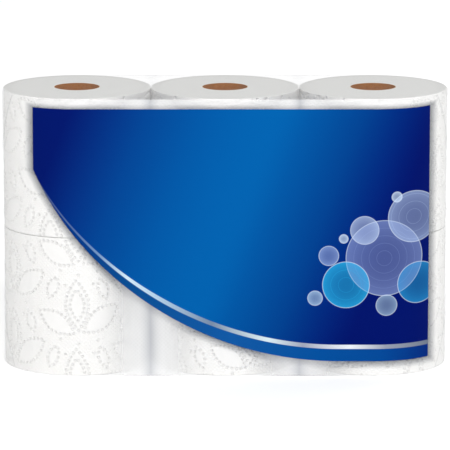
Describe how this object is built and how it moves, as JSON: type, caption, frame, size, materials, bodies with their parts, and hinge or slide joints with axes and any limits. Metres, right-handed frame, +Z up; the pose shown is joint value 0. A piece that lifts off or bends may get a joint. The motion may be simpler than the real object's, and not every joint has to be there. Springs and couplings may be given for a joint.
{
  "type": "toilet paper roll pack",
  "caption": "Pack of toilet paper rolls on cardboard cores, standing in two tiers in one tight clear film wrapper with a printed blue front panel.",
  "frame": {"origin": "centre of the pack's base, on the underside of the film", "axes": "+Z up along the rolls' cores, +X to the right along the row of three rolls, -Y out of the printed front face"},
  "size_m": [0.3642, 0.122, 0.229],
  "materials": {
    "film": "clear polyethylene film with a printed blue panel, soft gloss",
    "tissue": "white two-ply tissue, embossed, matte",
    "cardboard": "brown spiral-wound core board, matte"
  },
  "bodies": {
    "root": {"film_wrapper": "film", "roll_lower_left": "tissue", "core_lower_left": "cardboard", "roll_lower_middle": "tissue", "core_lower_middle": "cardboard", "roll_lower_right": "tissue", "core_lower_right": "cardboard", "roll_upper_left": "tissue", "core_upper_left": "cardboard", "roll_upper_middle": "tissue", "core_upper_middle": "cardboard", "roll_upper_right": "tissue", "core_upper_right": "cardboard"}
  },
  "joints": []
}
